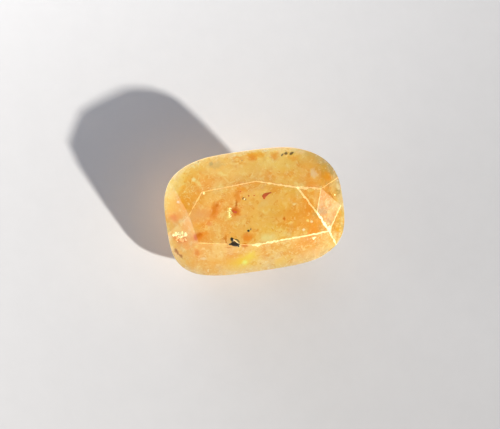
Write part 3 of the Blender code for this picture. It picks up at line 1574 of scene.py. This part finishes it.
TOP_RIM = (
    Patch((216.0, 165.0), (0.56, 0.22), "#C2AE7E", 0.65),
    Patch((211.0, 163.8), (0.18, 0.15), "#AFA47C", 0.75),
    Patch((252.0, 156.5), (0.34, 0.34), "#EC921C", 0.90),
    Patch((258.8, 154.3), (0.46, 0.28), "#EE9E2E", 0.80),
    Patch((239.5, 157.6), (0.46, 0.12), "#EF9A44", 0.75),
    Patch((274.8, 156.0), (0.32, 0.32), "#EC9226", 0.75),
    Patch((293.0, 157.5), (0.50, 0.22), "#F0A038", 0.60),
)

PALE_STREAKS = (
    Patch((193.6, 179.7), (0.16, 0.14), "#FFEEBA", 0.90),
    Patch((199.0, 183.5), (0.34, 0.10), "#FFE3A4", 0.70, -45.0),
    Patch((223.0, 174.5), (0.42, 0.14), "#FFE4A8", 0.70, -32.0),
    Patch((226.5, 180.0), (0.30, 0.08), "#FFDFA0", 0.60, -50.0),
    Patch((314.0, 173.0), (0.22, 0.38), "#F3D0AC", 0.80, -10.0),
)

TABLE_SPECKS = (
    Patch((284.1, 218.4), (0.10, 0.12), "#D07A18", 0.85),
    Patch((268.5, 237.6), (0.56, 0.28), "#FFE2A8", 0.70, 4.0),
    Patch((262.0, 204.5), (0.42, 0.22), "#F3D296", 0.55, 10.0),
    Patch((294.2, 204.4), (0.10, 0.10), "#FFEABC", 0.90),
    Patch((307.7, 220.6), (0.10, 0.10), "#FFEFA4", 0.95),
    Patch((311.5, 221.6), (0.09, 0.09), "#F6EECC", 0.85),
    Patch((303.9, 229.6), (0.10, 0.09), "#FFF4DC", 1.00),
    Patch((178.2, 202.0), (0.10, 0.10), "#FFE8D6", 0.90),
    Patch((188.6, 204.0), (0.09, 0.09), "#FFE6B8", 0.70),
    Patch((290.5, 222.5), (0.28, 0.07), "#FFE29A", 0.75, 8.0),
)

KITE_SCRATCHES = (
    Patch((328.0, 206.2), (0.46, 0.045), "#D89A58", 0.70, 4.0),
    Patch((328.5, 208.0), (0.34, 0.04), "#D89A58", 0.60, -24.0),
    Patch((330.5, 194.8), (0.56, 0.06), "#C87818", 0.80, -47.0),
)

LOWER_RIM_DOTS = (
    Patch((260.2, 263.5), (0.10, 0.08), "#D98A34", 0.60),
    Patch((291.8, 259.4), (0.10, 0.08), "#D98A34", 0.60),
)

PATCHES = (
    BROAD_TONES_AND_PAINTED_LIGHT
    + RIGHT_SHOULDER
    + TABLE_LEFT_STAINS
    + LEFT_END
    + PAINTED_CAUSTIC_GLOW
    + CRYSTAL_HALO
    + TABLE_MIDDLE_STAINS
    + TOP_RIM
    + PALE_STREAKS
    + TABLE_SPECKS
    + KITE_SCRATCHES
    + LOWER_RIM_DOTS
)


class Lamp(Enum):
    """The kinds of light in the studio."""

    SUN = "SUN"
    SPOT = "SPOT"
    AREA = "AREA"


@dataclass(frozen=True)
class Light:
    """A light that faces the stone: its direction, distance in millimetres, power and colour."""

    name: str
    kind: Lamp
    azimuth: float
    elevation: float
    distance: float
    power: float
    colour: str = "#FFFFFF"
    sides: tuple[float, float] = (0.0, 0.0)
    aim: Vector = Vector((0.0, 0.0, 4.0))

    def build(self) -> bpy.types.Light:
        """Adds the light.

        Returns:
            Its data, for what its kind alone has.
        """
        bpy.ops.object.light_add(type=self.kind.value)
        lamp = bpy.context.object
        lamp.name = self.name
        towards = direction_at(self.azimuth, self.elevation)
        lamp.location = (self.aim + towards * self.distance) * MM
        lamp.rotation_euler = towards.to_track_quat("Z", "Y").to_euler()
        lamp.data.energy = self.power
        lamp.data.color = linear(self.colour)[:3]
        if self.kind is Lamp.AREA:
            lamp.data.shape = "RECTANGLE"
            lamp.data.size = self.sides[0] * MM
            lamp.data.size_y = self.sides[1] * MM
        return lamp.data


@dataclass(frozen=True)
class Studio:
    """The paper that the stone lies on, and the light.

    The key light is low and nearly hard, and throws the long shadow. The left glow is a narrow warm
    spot on the left end, where the photograph's stone glows onto the paper.
    """

    key: Light = Light("key_light", Lamp.SUN, -41.7, 28.9, 300.0, 7.3, "#FFF6E6")
    key_angle: float = 3.0
    glow: Light = Light(
        "left_glow", Lamp.SPOT, -160.0, 40.0, 60.0, 0.05, "#FFDDA8", aim=Vector((-6.2, -0.5, 2.0))
    )
    glow_cone: float = 11.0
    glow_radius: float = 4.0
    softboxes: tuple[Light, ...] = (
        Light("left_fill", Lamp.AREA, 178.0, 5.5, 60.0, 0.034, "#FFF8EE", (70.0, 10.0)),
        Light("far_fill", Lamp.AREA, 108.0, 5.5, 60.0, 0.040, "#FFFCF8", (56.0, 10.0)),
        Light("high_window", Lamp.AREA, 98.0, 50.0, 100.0, 0.0080, sides=(110.0, 80.0)),
        Light("kite_softbox", Lamp.AREA, -17.1, 18.8, 150.0, 0.0031, sides=(34.0, 18.0)),
    )
    sky_strength: float = 0.15
    sky_colour: str = "#E6E4F8"
    floor_size: float = 240.0
    floor_cells: int = 160
    floor_drop: float = 0.02
    flat_reach: float = 7.0
    wave_height: float = 0.16
    wave_length: float = 26.0
    wave_growth: float = 12.0
    wave_slice: float = 9.0
    far_tilt: float = 0.085
    far_start: float = 9.0
    far_bend: float = 3.0
    far_limits: tuple[float, float] = (-6.0, 20.0)
    far_direction: Vector = Vector((0.98, -0.18, 0.0))

    def build(self, paper: Material) -> None:
        """Adds the floor, the sky and the lights.

        Args:
            paper: The floor's material.
        """
        self._floor(paper)
        self._sky()
        self.key.build().angle = math.radians(self.key_angle)
        for softbox in self.softboxes:
            softbox.build()
        spot = self.glow.build()
        spot.spot_size = math.radians(self.glow_cone)
        spot.spot_blend = 1.0
        spot.shadow_soft_size = self.glow_radius * MM

    def _floor(self, paper: Material) -> None:
        """Lays a sheet of paper under the stone, flat there and very slightly waved further out.

        Args:
            paper: The sheet's material.
        """
        deselect_all()
        bpy.ops.mesh.primitive_grid_add(
            x_subdivisions=self.floor_cells, y_subdivisions=self.floor_cells, size=self.floor_size * MM
        )
        floor = bpy.context.object
        floor.name = "paper_floor"
        for vertex in floor.data.vertices:
            vertex.co.z = self._floor_height(vertex.co / MM) * MM
        bpy.ops.object.shade_smooth()
        floor.data.materials.append(paper)

    def _floor_height(self, place: Vector) -> float:
        """Finds how high the sheet lies: waved further out, and rising slowly on the right.

        Args:
            place: A place on the floor, in millimetres.

        Returns:
            The height in millimetres.
        """
        outside = max(place.length - self.flat_reach, 0.0)
        height = self.wave_height * min(outside / self.wave_growth, 1.0)
        waves = noise.noise(Vector((place.x, place.y, self.wave_slice)) / self.wave_length) * height
        beyond = (place.dot(self.far_direction) - self.far_start) / self.far_bend
        lowest, highest = self.far_limits
        tilted = 0.0
        if beyond > lowest:
            tilted = self.far_bend * math.log1p(math.exp(min(beyond, highest))) * self.far_tilt
        return waves + tilted - self.floor_drop

    def _sky(self) -> None:
        """Gives the room's even light."""
        world = bpy.data.worlds.new("soft_room")
        bpy.context.scene.world = world
        world.use_nodes = True
        sky = world.node_tree.nodes["Background"]
        sky.inputs["Color"].default_value = linear(self.sky_colour)
        sky.inputs["Strength"].default_value = self.sky_strength


def main() -> None:
    """Builds the stone, its inclusions, the camera and the studio."""
    logging.basicConfig(level=logging.INFO, format="%(name)s: %(message)s")
    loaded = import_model()
    node = loaded["nodes"][STONE_NODE]
    camera = PhotoCamera()
    frame = StoneFrame()
    surface = CutSurface.of_node(node, camera, frame)

    polished = PolishedCorundum(clouds=CLOUDS, patches=PATCHES).build(surface)
    stone = Stone(frame).build(node, polished, WornCorundum().build())
    LOG.info("stone: %d faces", len(stone.data.polygons))

    groups = (
        # Black spinel: near-black faces with a brownish edge.
        (InclusionSet(Slot.BLACK, BLACK_GRAINS), DarkCrystal("black_spinel", "#17150F", "#4A3419")),
        # The same mineral under a skin of sapphire: an olive brown.
        (InclusionSet(Slot.BLACK, OLIVE_GRAINS), DarkCrystal("olive_mineral", "#6A5226", "#8A6A34")),
        # Iron oxide in a feather: a matt rust red.
        (InclusionSet(Slot.IRON, IRON_GRAINS), TwoToneMineral("iron_oxide_feather", "#8C3512", "#A64A1C")),
        # Thin iron stains on small flakes: a soft orange.
        (
            InclusionSet(Slot.IRON, (), IRON_FIELDS),
            TwoToneMineral("iron_stained_flakes", "#D98A3A", "#EBAA5E"),
        ),
        # Healed feathers: milky cream specks, with painted highlights: the crystal glints and the glint on
        # the right are pale grains standing in for reflections.
        (
            InclusionSet(Slot.MILKY, MILKY_SPECKS_AND_GLINTS, MILKY_FIELDS),
            TwoToneMineral("milky_feather", "#FFF2C8", "#FFE09C"),
        ),
        # Chipped corners: a chalky, grainy cream.
        (
            InclusionSet(Slot.WORN, WORN_CHIPS),
            TwoToneMineral("chipped_sapphire", "#F6DFAE", "#E8BC7C", scale=9.0),
        ),
    )
    for group, mineral in groups:
        made = group.build(surface, mineral.build())
        LOG.info("%s: %s", mineral.name, ", ".join(piece.name for piece in made))

    camera.build()
    LOG.info("camera: photo_camera")
    Studio().build(WhitePaper().build())
    LOG.info("studio: paper_floor and the lights")
    bpy.context.scene.view_settings.view_transform = "Standard"
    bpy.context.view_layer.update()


if __name__ == "__main__":
    main()
